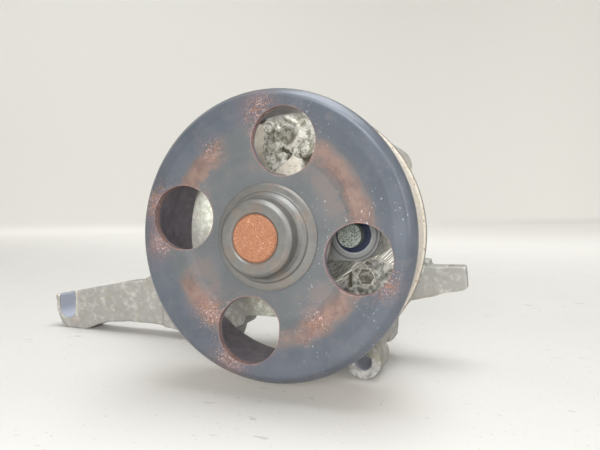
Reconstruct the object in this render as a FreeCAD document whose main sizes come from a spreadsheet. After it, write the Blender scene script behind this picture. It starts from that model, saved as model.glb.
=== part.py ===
"""Engine water pump with its belt pulley: a die-cast body, an integral shaft bearing,
a pressed pulley on a hub, a face seal and an impeller.

Frame: millimetres, +Z up, the shaft along Y with the pulley towards -Y. The origin is on the
shaft's axis, in the plane of the machined face that bolts to the engine.
"""

import FreeCAD, Part
import math
import os

import Sketcher

V = FreeCAD.Vector

# Driving sizes in millimetres. A name ending in _y is a place along the shaft's axis.
SIZES = {
    "shaft_front_y": -86.0,
    "shaft_step_y": -14.0,
    "shaft_rear_y": 19.0,
    "shaft_radius": 7.96,
    "shaft_rear_radius": 6.35,
    "shaft_chamfer": 0.6,
    "running_gap": 0.05,
    "overcut": 1.0,
    # hub
    "hub_rear_y": -67.5,
    "hub_nose_radius": 11.8,
    "hub_barrel_radius": 13.0,
    "hub_step_radius": 15.5,
    "hub_lip_radius": 18.5,
    "hub_seat_radius": 17.0,
    "hub_flange_radius": 22.0,
    "hub_flange_thickness": 2.4,
    "hub_nose_bevel": 1.2,
    "hub_barrel_length": 6.0,
    "hub_step_length": 2.4,
    "hub_step_sag": 0.72,
    "hub_lip_thickness": 0.9,
    "hub_lip_bevel": 0.4,
    # pulley
    "web_front_y": -76.0,
    "web_ring_rise": 1.2,
    "web_crown_rise": 2.2,
    "pulley_sheet": 2.6,
    "pulley_radius": 51.0,
    "pulley_track_radius": 49.4,
    "pulley_lip_radius": 50.3,
    "pulley_rear_y": -46.6,
    "crown_round": 5.0,
    "crown_round_middle": 1.5,
    "crown_inner_sag": 0.3,
    "track_start": 9.0,
    "lip_width": 1.2,
    "lip_slope": 1.4,
    "web_disc_radius": 29.0,
    "web_ring_radius": 32.0,
    "web_ring_outer": 38.0,
    "web_crown_radius": 44.0,
    "window_radius": 11.6,
    "window_circle": 33.0,
    "window_angle": -11.3,
    "window_count": 4,
    # shaft bearing
    "bearing_front_y": -57.5,
    "bearing_length": 38.9,
    "bearing_radius": 15.0,
    "race_radius": 12.0,
    "row_radius": 9.98,
    "ball_radius": 2.85,
    "ball_y": -48.5,
    "ball_count": 9,
    "roller_radius": 2.0,
    "roller_length": 12.0,
    "roller_y": -30.5,
    "roller_count": 12,
    "cage_inner_radius": 9.0,
    "cage_outer_radius": 10.9,
    "cage_room": 0.1,
    "ball_cage_length": 7.0,
    "roller_cage_length": 15.0,
    "bearing_seal_inset": 0.4,
    "bearing_seal_thickness": 1.8,
    "bearing_seal_slope": 1.0,
    "bearing_bevel": 0.5,
    # body
    "plate_thickness": 14.0,
    "snout_front_y": -56.0,
    "snout_front_radius": 19.5,
    "snout_rear_radius": 24.0,
    "snout_chamfer": 1.2,
    "snout_core_radius": 5.0,
    "weep_chamber_radius": 13.0,
    "seal_bore_radius": 15.0,
    "seal_bore_y": -12.0,
    "impeller_recess_y": -2.0,
    "impeller_recess_radius": 30.0,
    "pilot_radius": 34.0,
    "pilot_length": 9.0,
    "ring_groove_radius": 35.6,
    "ring_groove_width": 2.4,
    "ring_groove_depth": 1.8,
    "ring_section_radius": 1.1,
    "bolt_hole_radius": 3.4,
    "lug_x": 26.0,
    "lug_z": -49.3,
    "lug_radius": 7.1,
    "lug_rear_y": -26.0,
    "lug_length": 18.0,
    "lug_web_reach": 40.0,
    "dowel_radius": 4.6,
    "dowel_out": 5.0,
    "dowel_seat_radius": 4.8,
    "dowel_seat_depth": 6.0,
    "dowel_bore_radius": 3.7,
    "weep_hole_radius": 1.9,
    "weep_y": -16.4,
    "weep_hole_depth": 30.0,
    # breather boss beside the snout
    "breather_x": 25.3,
    "breather_z": 0.3,
    "breather_boss_radius": 9.9,
    "breather_bore_radius": 6.4,
    "breather_bore_depth": 41.6,
    "breather_filter_radius": 4.3,
    "breather_filter_out": 5.5,
    "breather_length": 10.0,
    # bracket arms
    "left_arm_thickness": 13.0,
    "right_arm_thickness": 12.0,
    "slot_half_width": 5.7,
    "slot_x": -150.0,
    "slot_z": -45.3,
    "side_hole_x": 53.5,
    "side_hole_y": -6.0,
    "side_hole_radius": 3.4,
    "side_face_radius": 5.6,
    "side_face_z": -24.6,
    "side_face_depth": 8.0,
    "mark_size": 3.4,
    "mark_depth": 1.2,
    "mark_x": 24.2,
    "mark_z": -18.2,
    # shaft seal
    "seal_wall": 0.8,
    "seal_flange_radius": 17.5,
    "seal_hole_radius": 8.5,
    "bellows_radius": 9.2,
    "bellows_wall": 1.6,
    "bellows_foot": 1.5,
    "bellows_head": 1.2,
    "bellows_head_reach": 1.8,
    "carbon_face_y": 1.5,
    "carbon_length": 4.1,
    "carbon_step": 1.6,
    "carbon_nose_radius": 11.0,
    "carbon_bore_radius": 7.6,
    "spring_radius": 12.5,
    "spring_wire_radius": 0.65,
    "spring_wire_sides": 12,
    "spring_turns": 2.5,
    "spring_steps": 40,
    "spring_front_y": -8.6,
    "spring_height": 3.9,
    "mating_ring_length": 4.0,
    "mating_ring_radius": 13.0,
    "mating_cup_radius": 7.9,
    "mating_cup_inset": 0.7,
    "mating_cup_step": 0.6,
    "slinger_y": -17.6,
    "slinger_radius": 11.0,
    "slinger_thickness": 1.0,
    "slinger_slope": 0.4,
    "slinger_collar_wall": 1.2,
    "slinger_collar_length": 3.0,
    # impeller
    "impeller_front_y": 6.6,
    "impeller_radius": 28.0,
    "impeller_disc": 1.8,
    "impeller_collar_radius": 10.0,
    "impeller_collar_bevel": 3.0,
    "impeller_rear_y": 18.0,
    "vane_count": 7,
    "vane_thickness": 2.2,
    "vane_overlap": 1.0,
    "vane_set_back": 1.0,
    "vane_middle_x": 17.6,
    "vane_middle_z": -3.2,
    "vane_tip_x": 23.6,
    "vane_tip_z": -11.6,
}

# Outlines seen from the pulley side: (x, z) corners of what is padded forward from the mounting
# face, each with how far forward it reaches.
OUTLINES = {
    "plate": (
        (38.0, -31.8), (40.0, -5.0), (38.5, 12.0), (36.5, 24.0), (35.5, 31.0), (30.5, 37.5),
        (23.0, 43.0), (2.0, 53.0), (-14.0, 57.0), (-27.0, 55.0), (-36.0, 48.0),
        (-62.0, 36.0), (-79.0, 26.0), (-82.0, -8.0), (-86.0, -20.0), (-86.0, -51.0),
        (-72.0, -53.0), (-58.0, -54.0), (-44.0, -48.2), (-40.0, -46.0), (-38.0, -41.4),
        (13.0, -41.0), (17.5, -45.5), (27.0, -49.6), (32.0, -47.8), (32.6, -38.5),
    ),
    "ear": (
        (-27.0, 18.0), (6.0, 18.0), (7.0, 42.0), (-3.0, 51.0), (-16.0, 57.0), (-27.0, 52.0),
        (-30.0, 34.0),
    ),
    "shoulder": (
        (0.0, -2.0), (36.0, -2.0), (38.0, -28.0), (31.0, -40.0), (20.0, -42.0), (4.0, -34.0),
    ),
    "left_arm": (
        (-158.5, -38.3), (-157.6, -47.3), (-154.5, -53.8), (-150.0, -56.4), (-137.0, -56.4),
        (-130.0, -53.6), (-123.0, -51.6), (-109.0, -50.2), (-92.0, -50.2), (-74.0, -52.0),
        (-70.0, -20.0), (-86.0, -18.5), (-94.5, -25.0), (-101.0, -28.0), (-112.0, -29.2),
        (-124.0, -31.8),
    ),
    "right_arm": (
        (40.0, -30.0), (62.8, -24.0), (62.0, -14.6), (47.0, -14.8), (47.0, -12.2),
        (43.6, -12.2), (43.6, -14.8), (34.0, -14.8), (34.0, -30.0),
    ),
    "lug_web": (
        (19.5, -45.0), (31.8, -45.0), (31.0, -30.0), (12.0, -30.0),
    ),
    "slot": ((-155.7, -45.3), (-144.3, -45.3), (-144.3, -30.0), (-155.7, -30.0)),
    "left_hollow": (
        (-46.0, 30.0), (-60.0, 29.0), (-62.0, 14.0), (-76.0, 8.0), (-80.0, -10.0),
        (-68.0, -14.0), (-44.0, -12.0), (-41.0, 8.0),
    ),
    "lower_hollow": ((-42.0, -18.0), (-70.0, -20.0), (-82.0, -26.0), (-80.0, -44.0), (-62.0, -42.0)),
    "arm_hollow": (
        (-90.0, -30.0), (-90.0, -43.0), (-112.0, -43.4), (-136.0, -49.0), (-139.0, -39.0),
        (-112.0, -33.5),
    ),
}
REACH = {"ear": 37.0, "shoulder": 28.0, "hollow": 8.0}

# Bolt bosses: centre x and z, outer radius, how far forward each reaches.
BOSSES = {
    "lower_left": (-52.0, -49.5, 6.9, 22.0),
    "upper_left": (-20.0, 49.0, 8.0, 38.0),
    "upper_right": (29.2, 28.5, 8.9, 36.0),
    "far_left": (-71.0, 22.5, 8.5, 20.0),
}
DOWELLED = ("lower_left", "upper_left")

doc = FreeCAD.newDocument("WaterPump")
sheet = doc.addObject("Spreadsheet::Sheet", "Sizes")
made = []


class Dim:
    """A size from the sheet: the expression that binds a property to it, and its value."""

    def __init__(self, text, value):
        self.text = text
        self.value = value

    def joined(self, sign, other, value):
        other_text = other.text if isinstance(other, Dim) else str(other)
        return Dim(f"({self.text} {sign} {other_text})", value)

    def __add__(self, other):
        return self.joined("+", other, self.value + plain(other))

    def __sub__(self, other):
        return self.joined("-", other, self.value - plain(other))

    def __mul__(self, other):
        return self.joined("*", other, self.value * plain(other))

    def __neg__(self):
        return Dim(f"(0 - {self.text})", -self.value)


def plain(size):
    """The number behind a Dim, or the number itself."""
    return size.value if isinstance(size, Dim) else float(size)


class Table:
    """The sheet's cells as attributes, so that size.pulley_radius is a Dim."""

    def __init__(self):
        self.row = 0

    def add(self, alias, value):
        self.row += 1
        sheet.set(f"A{self.row}", alias)
        sheet.set(f"B{self.row}", repr(float(value)))
        sheet.setAlias(f"B{self.row}", alias)
        setattr(self, alias, Dim(f"Sizes.{alias}", float(value)))

    def get(self, alias):
        return getattr(self, alias)


size = Table()
for alias, value in SIZES.items():
    size.add(alias, value)
for outline_name, corners in OUTLINES.items():
    for number, (corner_x, corner_z) in enumerate(corners, 1):
        size.add(f"{outline_name}_x_{number}", corner_x)
        size.add(f"{outline_name}_z_{number}", corner_z)
for outline_name, reach in REACH.items():
    size.add(f"{outline_name}_reach", reach)
for boss_name, boss in BOSSES.items():
    for key, value in zip(("x", "z", "radius", "reach"), boss):
        size.add(f"{boss_name}_boss_{key}", value)
doc.recompute()


# ---------------------------------------------------------------- building blocks


def bind(target, path, length):
    """Binds a property to the sheet, or sets it where the size is a plain number."""
    if isinstance(length, Dim):
        target.setExpression(path, length.text)
    else:
        setattr(target, path, length)


def new_body(label):
    body = doc.addObject("PartDesign::Body", label)
    body.Label = label
    made.append(body)
    return body


def origin_feature(body, role):
    return next(f for f in body.Origin.OriginFeatures if f.Role == role)


def new_sketch(body, name, plane, offset=None):
    """A sketch on one of the body's origin planes, moved along the plane's normal by offset."""
    sketch = body.newObject("Sketcher::SketchObject", name)
    sketch.AttachmentSupport = [(origin_feature(body, plane), "")]
    sketch.MapMode = "FlatFace"
    if offset is not None:
        bind(sketch, "AttachmentOffset.Base.z", offset)
    return sketch


def pin_point(sketch, geometry, end, across, up):
    """Fixes a sketch point at two distances from the sketch's origin."""
    for kind, length in (("DistanceX", across), ("DistanceY", up)):
        index = sketch.addConstraint(
            Sketcher.Constraint(kind, -1, 1, geometry, end, plain(length))
        )
        if isinstance(length, Dim):
            sketch.setExpression(f"Constraints[{index}]", length.text)


def outline_sketch(body, name, plane, corners, offset=None):
    """A closed outline. A corner is (across, up), or (across, up, middle_across, middle_up) where
    the stretch that arrives at it is an arc through that middle."""
    sketch = new_sketch(body, name, plane, offset)
    count = len(corners)
    ends = []
    for number, corner in enumerate(corners):
        before = corners[number - 1]
        start = V(plain(before[0]), plain(before[1]), 0)
        stop = V(plain(corner[0]), plain(corner[1]), 0)
        if len(corner) == 2:
            sketch.addGeometry(Part.LineSegment(start, stop), False)
            ends.append((1, 2))
            continue
        middle = V(plain(corner[2]), plain(corner[3]), 0)
        sketch.addGeometry(Part.Arc(start, middle, stop), False)
        leftward = (middle - start).cross(stop - middle).z > 0
        ends.append((1, 2) if leftward else (2, 1))
    for number in range(count):
        following = (number + 1) % count
        sketch.addConstraint(
            Sketcher.Constraint(
                "Coincident", number, ends[number][1], following, ends[following][0]
            )
        )
        pin_point(sketch, number, ends[number][1], corners[number][0], corners[number][1])
    for number, corner in enumerate(corners):
        if len(corner) == 4:
            point = sketch.addGeometry(
                Part.Point(V(plain(corner[2]), plain(corner[3]), 0)), True
            )
            pin_point(sketch, point, 1, corner[2], corner[3])
            sketch.addConstraint(Sketcher.Constraint("PointOnObject", point, 1, number))
    return sketch


def circle_sketch(body, name, plane, across, up, radius, offset=None):
    sketch = new_sketch(body, name, plane, offset)
    circle = Part.Circle(V(plain(across), plain(up), 0), V(0, 0, 1), plain(radius))
    sketch.addGeometry(circle, False)
    pin_point(sketch, 0, 3, across, up)
    index = sketch.addConstraint(Sketcher.Constraint("Radius", 0, plain(radius)))
    if isinstance(radius, Dim):
        sketch.setExpression(f"Constraints[{index}]", radius.text)
    return sketch


def turned(body, name, corners, kind="PartDesign::Revolution"):
    """Turns a (radius, y) outline about the shaft's axis: a Revolution adds, a Groove cuts."""
    sketch = outline_sketch(body, name + "_profile", "XY_Plane", corners)
    feature = body.newObject(kind, name)
    feature.Profile = sketch
    feature.ReferenceAxis = (sketch, ["V_Axis"])
    feature.Angle = 360.0
    sketch.Visibility = False
    return feature


def padded(body, name, sketch, length, backward=False):
    pad = body.newObject("PartDesign::Pad", name)
    pad.Profile = sketch
    bind(pad, "Length", length)
    pad.Reversed = backward
    return pad


def pocketed(body, name, sketch, depth=None, flipped=False):
    """A pocket of a given depth, or through everything both ways."""
    pocket = body.newObject("PartDesign::Pocket", name)
    pocket.Profile = sketch
    if depth is None:
        pocket.Type = "ThroughAll"
        pocket.Midplane = True
    else:
        bind(pocket, "Length", depth)
        pocket.Reversed = flipped
    return pocket


def polar(body, name, feature, count):
    """Repeats a feature about the shaft's axis."""
    pattern = body.newObject("PartDesign::PolarPattern", name)
    pattern.Originals = [feature]
    pattern.Axis = (origin_feature(body, "Y_Axis"), [""])
    pattern.Angle = 360.0
    bind(pattern, "Occurrences", count)
    body.Tip = pattern
    return pattern


def ring_part(label, corners):
    """A sub-part that is one turned ring."""
    body = new_body(label)
    turned(body, label + "_turned", corners)
    return body


def shape_part(label, shape):
    """A sub-part whose shape comes from Part's own functions."""
    part = doc.addObject("Part::Feature", label)
    part.Label = label
    part.Shape = shape
    made.append(part)
    return part


def outline_corners(name):
    return [
        (size.get(f"{name}_x_{number}"), size.get(f"{name}_z_{number}"))
        for number in range(1, len(OUTLINES[name]) + 1)
    ]


def around_axis(radius, angle):
    """The (x, z) place at an angle about the shaft's axis."""
    turn = math.radians(angle)
    return radius * math.cos(turn), radius * math.sin(turn)


# ---------------------------------------------------------------- rotating pieces


def make_pulley():
    """A pressed steel cup: a stepped web with four windows, a rolled shoulder and a smooth track."""
    body = new_body("pulley")
    wall = size.pulley_sheet
    inner_y = size.web_front_y
    ring_y = size.web_front_y - size.web_ring_rise
    crown_y = size.web_front_y - size.web_crown_rise
    round_y = crown_y + size.crown_round
    track = size.pulley_track_radius
    lip_y = size.pulley_rear_y - size.lip_width
    turned(
        body,
        "pulley_cup",
        [
            (size.hub_seat_radius, inner_y),
            (size.web_disc_radius, inner_y),
            (size.web_ring_radius, ring_y),
            (size.web_ring_outer, ring_y),
            (size.web_crown_radius, crown_y),
            (
                size.pulley_radius, round_y,
                size.pulley_radius - size.crown_round_middle, crown_y + size.crown_round_middle,
            ),
            (track, crown_y + size.track_start),
            (track, lip_y - size.lip_slope),
            (size.pulley_lip_radius, lip_y),
            (size.pulley_lip_radius, size.pulley_rear_y),
            (size.pulley_lip_radius - size.lip_width, size.pulley_rear_y),
            (track - wall, lip_y),
            (track - wall, crown_y + size.track_start),
            (
                size.web_crown_radius, crown_y + wall,
                track - wall - size.crown_round_middle,
                round_y - size.crown_inner_sag,
            ),
            (size.web_ring_outer, ring_y + wall),
            (size.web_ring_radius, ring_y + wall),
            (size.web_disc_radius, inner_y + wall),
            (size.hub_seat_radius, inner_y + wall),
        ],
    )
    angle = size.window_angle
    across, up = around_axis(size.window_circle.value, angle.value)
    window_x = Dim(f"Sizes.window_circle * cos({angle.text} * 1deg)", across)
    window_z = Dim(f"Sizes.window_circle * sin({angle.text} * 1deg)", up)
    sketch = circle_sketch(
        body, "pulley_window_circle", "XZ_Plane", window_x, window_z, size.window_radius
    )
    window = pocketed(body, "pulley_window", sketch)
    polar(body, "pulley_windows", window, size.window_count)


def make_hub():
    """The pulley's steel hub, pressed on the shaft, with a lip in front of the web and a flange
    behind it."""
    web_rear = size.web_front_y + size.pulley_sheet
    flange_rear = web_rear + size.hub_flange_thickness
    front = size.shaft_front_y
    barrel = size.hub_barrel_radius
    step_y = front + size.hub_barrel_length + size.hub_step_length
    lip_y = size.web_front_y - size.hub_lip_thickness
    ring_part(
        "pulley_hub",
        [
            (size.shaft_radius, front + size.shaft_chamfer),
            (size.shaft_radius + size.shaft_chamfer, front),
            (size.hub_nose_radius, front),
            (barrel, front + size.hub_nose_bevel),
            (barrel, front + size.hub_barrel_length),
            (
                size.hub_step_radius, step_y,
                barrel + size.hub_step_sag, step_y - size.hub_step_sag,
            ),
            (size.hub_step_radius, lip_y),
            (size.hub_lip_radius, lip_y + size.hub_lip_bevel),
            (size.hub_lip_radius, size.web_front_y),
            (size.hub_seat_radius, size.web_front_y),
            (size.hub_seat_radius, web_rear),
            (size.hub_flange_radius, web_rear),
            (size.hub_flange_radius, flange_rear),
            (barrel, flange_rear),
            (barrel, size.hub_rear_y),
            (size.shaft_radius, size.hub_rear_y),
        ],
    )


def make_shaft():
    """The bearing's integral shaft, with the ball groove ground in it and a thinner rear end."""
    body = new_body("pump_shaft")
    chamfer = size.shaft_chamfer
    turned(
        body,
        "shaft_bar",
        [
            (0.0, size.shaft_front_y),
            (size.shaft_radius - chamfer, size.shaft_front_y),
            (size.shaft_radius, size.shaft_front_y + chamfer),
            (size.shaft_radius, size.shaft_step_y),
            (size.shaft_rear_radius, size.shaft_step_y),
            (size.shaft_rear_radius, size.shaft_rear_y - chamfer),
            (size.shaft_rear_radius - chamfer, size.shaft_rear_y),
            (0.0, size.shaft_rear_y),
        ],
    )
    turned(body, "shaft_ball_groove", ball_groove_corners(), "PartDesign::Groove")


def ball_groove_corners():
    """A round section that the balls run in, both in the shaft and in the outer ring."""
    groove = size.ball_radius + size.running_gap
    row = size.row_radius
    middle = size.ball_y
    return [
        (row + groove, middle, row, middle - groove),
        (row - groove, middle, row, middle + groove),
    ]


def make_impeller():
    """A disc with a collar on the shaft and curved vanes facing the engine."""
    body = new_body("impeller")
    disc_rear = size.impeller_front_y + size.impeller_disc
    turned(
        body,
        "impeller_disc",
        [
            (size.shaft_rear_radius, size.impeller_front_y),
            (size.impeller_radius, size.impeller_front_y),
            (size.impeller_radius, disc_rear),
            (size.impeller_collar_radius + size.impeller_collar_bevel, disc_rear),
            (size.impeller_collar_radius, disc_rear + size.impeller_collar_bevel),
            (size.impeller_collar_radius, size.impeller_rear_y),
            (size.shaft_rear_radius, size.impeller_rear_y),
        ],
    )
    root = size.impeller_collar_radius - size.vane_overlap
    half = size.vane_thickness * 0.5
    sketch = outline_sketch(
        body,
        "vane_outline",
        "XZ_Plane",
        [
            (root, half, size.vane_middle_x, size.vane_middle_z + half),
            (root, -half),
            (
                size.vane_tip_x - half, size.vane_tip_z - half,
                size.vane_middle_x, size.vane_middle_z - half,
            ),
            (size.vane_tip_x + half, size.vane_tip_z + half),
        ],
        -disc_rear,
    )
    vane_height = size.impeller_rear_y - disc_rear - size.vane_set_back
    vane = padded(body, "vane", sketch, vane_height, backward=True)
    polar(body, "vanes", vane, size.vane_count)


def make_mating_ring():
    """The ceramic seal face that turns with the shaft, and the rubber cup that drives it."""
    face = size.carbon_face_y + size.running_gap
    rear = face + size.mating_ring_length
    cup_front = face + size.mating_cup_inset
    cup_radius = size.mating_ring_radius - size.mating_cup_step
    ring_part(
        "seal_mating_ring",
        [
            (size.mating_cup_radius, face),
            (size.mating_ring_radius, face),
            (size.mating_ring_radius, rear),
            (size.mating_cup_radius, rear),
        ],
    )
    ring_part(
        "mating_ring_cup",
        [
            (size.shaft_rear_radius, cup_front),
            (size.mating_cup_radius, cup_front),
            (size.mating_cup_radius, rear),
            (cup_radius, rear),
            (cup_radius, size.impeller_front_y),
            (size.shaft_rear_radius, size.impeller_front_y),
        ],
    )


def make_slinger():
    """A ring on the shaft that throws weeping coolant outwards, away from the bearing."""
    front = size.slinger_y
    rear = front + size.slinger_collar_length
    disc_rear = front + size.slinger_thickness
    collar = size.shaft_radius + size.slinger_collar_wall
    ring_part(
        "slinger",
        [
            (size.shaft_radius, front),
            (size.slinger_radius, front),
            (size.slinger_radius, disc_rear),
            (collar, disc_rear + size.slinger_slope),
            (collar, rear),
            (size.shaft_radius, rear),
        ],
    )


# ---------------------------------------------------------------- shaft bearing


def row_places(count):
    """The (x, z) centres of a bearing row."""
    return [around_axis(size.row_radius.value, 360.0 * i / count) for i in range(count)]


def make_bearing():
    """The outer ring, a row of balls and a row of rollers in their cages, and two lip seals."""
    front = size.bearing_front_y
    rear = front + size.bearing_length
    bevel = size.bearing_bevel
    ring = new_body("bearing_outer_ring")
    turned(
        ring,
        "outer_ring_tube",
        [
            (size.race_radius, front),
            (size.bearing_radius - bevel, front),
            (size.bearing_radius, front + bevel),
            (size.bearing_radius, rear - bevel),
            (size.bearing_radius - bevel, rear),
            (size.race_radius, rear),
        ],
    )
    turned(ring, "outer_ring_groove", ball_groove_corners(), "PartDesign::Groove")

    ball_places = row_places(int(size.ball_count.value))
    balls = [
        Part.makeSphere(size.ball_radius.value, V(x, size.ball_y.value, z))
        for x, z in ball_places
    ]
    shape_part("bearing_balls", Part.makeCompound(balls))
    room = size.cage_room.value
    pocket_radius = size.ball_radius.value + room
    pockets = [
        Part.makeCylinder(
            pocket_radius, size.race_radius.value, V(0, size.ball_y.value, 0), V(x, 0, z)
        )
        for x, z in ball_places
    ]
    shape_part("ball_cage", cage(size.ball_y, size.ball_cage_length).cut(pockets))

    roller_length = size.roller_length.value
    roller_places = row_places(int(size.roller_count.value))
    start = size.roller_y.value - roller_length / 2
    rollers = [
        Part.makeCylinder(size.roller_radius.value, roller_length, V(x, start, z), V(0, 1, 0))
        for x, z in roller_places
    ]
    shape_part("bearing_rollers", Part.makeCompound(rollers))
    slots = [
        Part.makeCylinder(
            size.roller_radius.value + room,
            roller_length + 2 * room,
            V(x, start - room, z),
            V(0, 1, 0),
        )
        for x, z in roller_places
    ]
    shape_part("roller_cage", cage(size.roller_y, size.roller_cage_length).cut(slots))

    inset = size.bearing_seal_inset
    thick = size.bearing_seal_thickness
    lip_radius = size.shaft_radius + size.running_gap
    for label, seal_front in (
        ("bearing_front_seal", front + inset),
        ("bearing_rear_seal", rear - inset - thick),
    ):
        ring_part(
            label,
            [
                (lip_radius, seal_front),
                (size.race_radius, seal_front),
                (size.race_radius, seal_front + thick),
                (lip_radius + size.bearing_seal_slope, seal_front + thick),
            ],
        )


def cage(middle, length):
    """A plain sleeve between the shaft and the outer ring."""
    start = V(0, middle.value - length.value / 2, 0)
    outer = Part.makeCylinder(size.cage_outer_radius.value, length.value, start, V(0, 1, 0))
    inner = Part.makeCylinder(size.cage_inner_radius.value, length.value, start, V(0, 1, 0))
    return outer.cut(inner)


# ---------------------------------------------------------------- face seal


def make_face_seal():
    """The still half of the shaft seal: cup, bellows and carbon."""
    front = size.seal_bore_y
    wall = size.seal_wall
    shelf = size.impeller_recess_y
    bore = size.seal_bore_radius
    ring_part(
        "seal_cup",
        [
            (size.seal_hole_radius, front),
            (bore, front),
            (bore, shelf),
            (size.seal_flange_radius, shelf),
            (size.seal_flange_radius, shelf + wall),
            (bore - wall, shelf + wall),
            (bore - wall, front + wall),
            (size.seal_hole_radius, front + wall),
        ],
    )
    inner = size.bellows_radius
    waist = inner + size.bellows_wall
    head = waist + size.bellows_head_reach
    foot_y = front + wall + size.bellows_foot
    carbon_front = size.carbon_face_y - size.carbon_length
    head_y = carbon_front - size.bellows_head
    ring_part(
        "seal_bellows",
        [
            (inner, front + wall),
            (bore - wall, front + wall),
            (bore - wall, foot_y),
            (waist, foot_y),
            (waist, head_y),
            (head, head_y),
            (head, carbon_front),
            (inner, carbon_front),
        ],
    )
    ring_part(
        "carbon_ring",
        [
            (size.carbon_bore_radius, carbon_front),
            (head, carbon_front),
            (head, carbon_front + size.carbon_step),
            (size.carbon_nose_radius, carbon_front + size.carbon_step),
            (size.carbon_nose_radius, size.carbon_face_y),
            (size.carbon_bore_radius, size.carbon_face_y),
        ],
    )


def make_spring():
    """The coil spring round the bellows, of nearly round wire."""
    steps = int(size.spring_steps.value)
    path = []
    for i in range(steps + 1):
        x, z = around_axis(size.spring_radius.value, 360.0 * size.spring_turns.value * i / steps)
        path.append(V(x, size.spring_front_y.value + size.spring_height.value * i / steps, z))
    helix = Part.BSplineCurve()
    helix.interpolate(path)
    along = V(*helix.tangent(helix.FirstParameter)[0])
    outward = V(1, 0, 0)
    sideways = along.cross(outward).normalize()
    sides = int(size.spring_wire_sides.value)
    section = []
    for i in range(sides + 1):
        across, up = around_axis(size.spring_wire_radius.value, 360.0 * i / sides)
        section.append(path[0] + outward * across + sideways * up)
    wire = Part.Wire(helix.toShape())
    shape_part("seal_spring", wire.makePipeShell([Part.makePolygon(section)], True, True))


# ---------------------------------------------------------------- body and its fittings


def make_body():
    """The die-cast body: mounting plate, bearing snout, bolt bosses and two bracket arms."""
    body = new_body("pump_body")
    plate = outline_sketch(body, "plate_outline", "XZ_Plane", outline_corners("plate"))
    padded(body, "plate", plate, size.plate_thickness)
    for name, reach in (
        ("ear", size.ear_reach),
        ("shoulder", size.shoulder_reach),
        ("left_arm", size.left_arm_thickness),
        ("right_arm", size.right_arm_thickness),
    ):
        sketch = outline_sketch(body, name + "_outline", "XZ_Plane", outline_corners(name))
        padded(body, name, sketch, reach)
    for name in BOSSES:
        place = [size.get(f"{name}_boss_{key}") for key in ("x", "z", "radius")]
        sketch = circle_sketch(body, name + "_boss_circle", "XZ_Plane", *place)
        padded(body, name + "_boss", sketch, size.get(f"{name}_boss_reach"))
    turned(
        body,
        "snout_and_pilot",
        [
            (size.snout_core_radius, size.snout_front_y),
            (size.snout_front_radius - size.snout_chamfer, size.snout_front_y),
            (size.snout_front_radius, size.snout_front_y + size.snout_chamfer),
            (size.snout_rear_radius, -size.plate_thickness),
            (size.pilot_radius, -size.plate_thickness),
            (size.pilot_radius, size.pilot_length),
            (size.snout_core_radius, size.pilot_length),
        ],
    )
    make_breather_boss(body)
    make_lug(body)
    bearing_rear = size.bearing_front_y + size.bearing_length
    bore_front = size.snout_front_y - size.overcut
    bore_rear = size.pilot_length + size.overcut
    turned(
        body,
        "stepped_bore",
        [
            (0.0, bore_front),
            (size.bearing_radius, bore_front),
            (size.bearing_radius, bearing_rear),
            (size.weep_chamber_radius, bearing_rear),
            (size.weep_chamber_radius, size.seal_bore_y),
            (size.seal_bore_radius, size.seal_bore_y),
            (size.seal_bore_radius, size.impeller_recess_y),
            (size.impeller_recess_radius, size.impeller_recess_y),
            (size.impeller_recess_radius, bore_rear),
            (0.0, bore_rear),
        ],
        "PartDesign::Groove",
    )
    groove_in = size.ring_groove_radius - size.ring_groove_width * 0.5
    groove_out = size.ring_groove_radius + size.ring_groove_width * 0.5
    turned(
        body,
        "ring_groove",
        [
            (groove_in, -size.ring_groove_depth),
            (groove_out, -size.ring_groove_depth),
            (groove_out, size.overcut),
            (groove_in, size.overcut),
        ],
        "PartDesign::Groove",
    )
    for name in ("left_hollow", "lower_hollow", "arm_hollow"):
        sketch = outline_sketch(body, name + "_outline", "XZ_Plane", outline_corners(name))
        pocketed(body, name, sketch, size.hollow_reach, flipped=True)
    for name in BOSSES:
        x, z = (size.get(f"{name}_boss_{key}") for key in ("x", "z"))
        hole = circle_sketch(body, name + "_hole", "XZ_Plane", x, z, size.bolt_hole_radius)
        pocketed(body, name + "_bolt_hole", hole)
        if name in DOWELLED:
            seat = circle_sketch(body, name + "_seat", "XZ_Plane", x, z, size.dowel_seat_radius)
            pocketed(body, name + "_dowel_seat", seat, size.dowel_seat_depth, flipped=True)
    cut_slot(body)
    cut_side_hole(body)
    cut_weep_passages(body)
    cut_mark(body)


def make_lug(body):
    """A bolt lug carried in front of the plate by a web."""
    web = outline_sketch(body, "lug_web_outline", "XZ_Plane", outline_corners("lug_web"))
    padded(body, "lug_web", web, size.lug_web_reach)
    place = (size.lug_x, size.lug_z)
    rear = -size.lug_rear_y
    ring = circle_sketch(body, "lug_circle", "XZ_Plane", *place, size.lug_radius, rear)
    padded(body, "lug", ring, size.lug_length)
    front = rear + size.lug_length
    hole = circle_sketch(body, "lug_hole_circle", "XZ_Plane", *place, size.bolt_hole_radius, front)
    pocketed(body, "lug_hole", hole, size.lug_length)


def make_breather_boss(body):
    """A round-ended boss beside the snout, bored from the front."""
    x, z, radius = size.breather_x, size.breather_z, size.breather_boss_radius
    boss = outline_sketch(
        body,
        "breather_boss_outline",
        "XZ_Plane",
        [
            (0.0, z - radius),
            (x, z - radius),
            (x, z + radius, x + radius, z),
            (0.0, z + radius),
        ],
    )
    padded(body, "breather_boss", boss, -size.snout_front_y)
    bore = circle_sketch(
        body, "breather_bore_circle", "XZ_Plane", x, z, size.breather_bore_radius,
        -size.snout_front_y,
    )
    pocketed(body, "breather_bore", bore, size.breather_bore_depth)


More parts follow.
